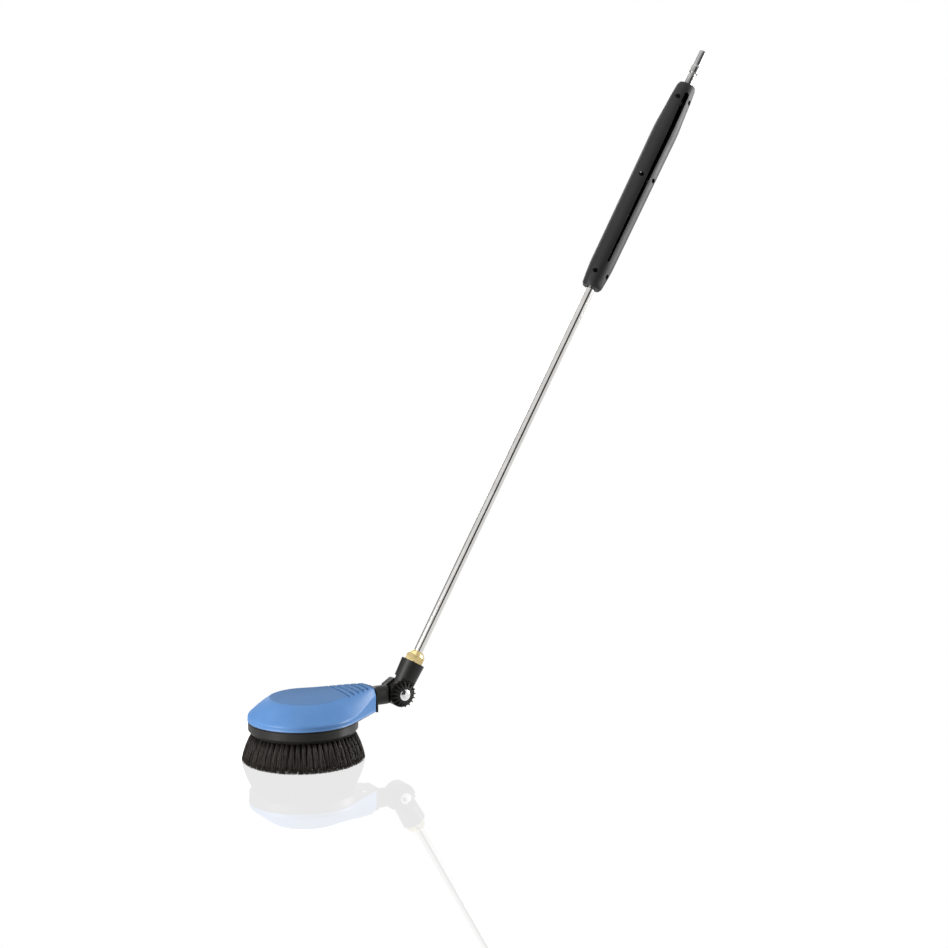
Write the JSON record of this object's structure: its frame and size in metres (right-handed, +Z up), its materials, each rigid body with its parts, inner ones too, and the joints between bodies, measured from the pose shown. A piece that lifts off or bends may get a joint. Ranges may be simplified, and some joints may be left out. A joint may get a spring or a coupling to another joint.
{
  "type": "rotary wash brush",
  "caption": "Water-driven rotary wash brush: a round bristle head under a drop-shaped cover, tilting on a clamped knuckle at the end of a steel lance with a grip.",
  "frame": {"origin": "on the brush's spin axis, in the plane of the bristle tips", "axes": "+X from the brush towards the knuckle, +Z up out of the cover along the brush's spin axis, XZ the plane of symmetry, with the star knob on the -Y side"},
  "size_m": [0.7978, 0.18, 1.048],
  "materials": {
    "cover_plastic": "satin",
    "black_plastic": "satin",
    "grip_plastic": "matte",
    "inner_plastic": "satin",
    "bristles": "matte",
    "seal_rubber": "matte",
    "brass": "polished",
    "steel": "satin",
    "chrome": "polished",
    "plug_steel": "satin"
  },
  "bodies": {
    "lance": {"lance_tube": "steel", "handle_front_shell": "grip_plastic", "handle_rear_shell": "grip_plastic", "handle_screws": "steel", "plug_nipple": "plug_steel", "lance_nut": "brass", "tube_seal": "seal_rubber", "knuckle_arm": "black_plastic"},
    "head": {"housing_base": "black_plastic", "top_cover": "cover_plastic", "cover_screws": "steel", "neck": "black_plastic", "neck_screws": "steel", "neck_seal": "seal_rubber", "jet_nozzle": "brass", "turbine_housing": "inner_plastic", "chamber_screws": "steel", "chamber_lid": "inner_plastic", "lid_screws": "steel", "shaft_bushes": "brass", "idler_axle": "steel", "hub_washer": "steel", "hub_screw": "steel", "pivot_bolt": "steel", "pivot_seal": "seal_rubber"},
    "brush": {"brush_plate": "black_plastic", "hub_bush": "brass", "ring_gear": "inner_plastic", "outer_bristles": "bristles", "middle_bristles": "bristles", "inner_bristles": "bristles"},
    "turbine": {"turbine_wheel": "inner_plastic", "turbine_shaft": "steel", "turbine_pinion": "brass"},
    "idler": {"reduction_gear": "inner_plastic"},
    "washer": {"clamp_washer": "steel"},
    "knob": {"star_knob": "black_plastic", "dome_nut": "chrome"}
  },
  "joints": [
    {"name": "head_tilt", "type": "hinge", "parent": "lance", "child": "head", "pos_m": [0.1565, 0, 0.079], "axis": [0, 1, 0], "range_deg": [-150, 34]},
    {"name": "brush_spin", "type": "hinge", "parent": "head", "child": "brush", "pos_m": [0, 0, 0.05], "axis": [0, 0, 1], "continuous": true},
    {"name": "idler_spin", "type": "hinge", "parent": "head", "child": "idler", "pos_m": [0.04432, 0.00781, 0.06], "axis": [0, 0, 1], "continuous": true},
    {"name": "turbine_spin", "type": "hinge", "parent": "head", "child": "turbine", "pos_m": [0.02932, -0.01817, 0.07], "axis": [0, 0, 1], "continuous": true},
    {"name": "knob_turn", "type": "hinge", "parent": "washer", "child": "knob", "pos_m": [0.1565, -0.018, 0.079], "axis": [0, -1, 0], "range_deg": [0, 720]},
    {"name": "knob_travel", "type": "slide", "parent": "head", "child": "washer", "axis": [0, -1, 0], "range_m": [0, 0.00251]}
  ],
  "couplings": [
    {"joint": "idler_spin", "follows": "brush_spin", "ratio": 6},
    {"joint": "turbine_spin", "follows": "brush_spin", "ratio": -24},
    {"joint": "knob_travel", "follows": "knob_turn", "m_per_rad": 0.00019894}
  ]
}
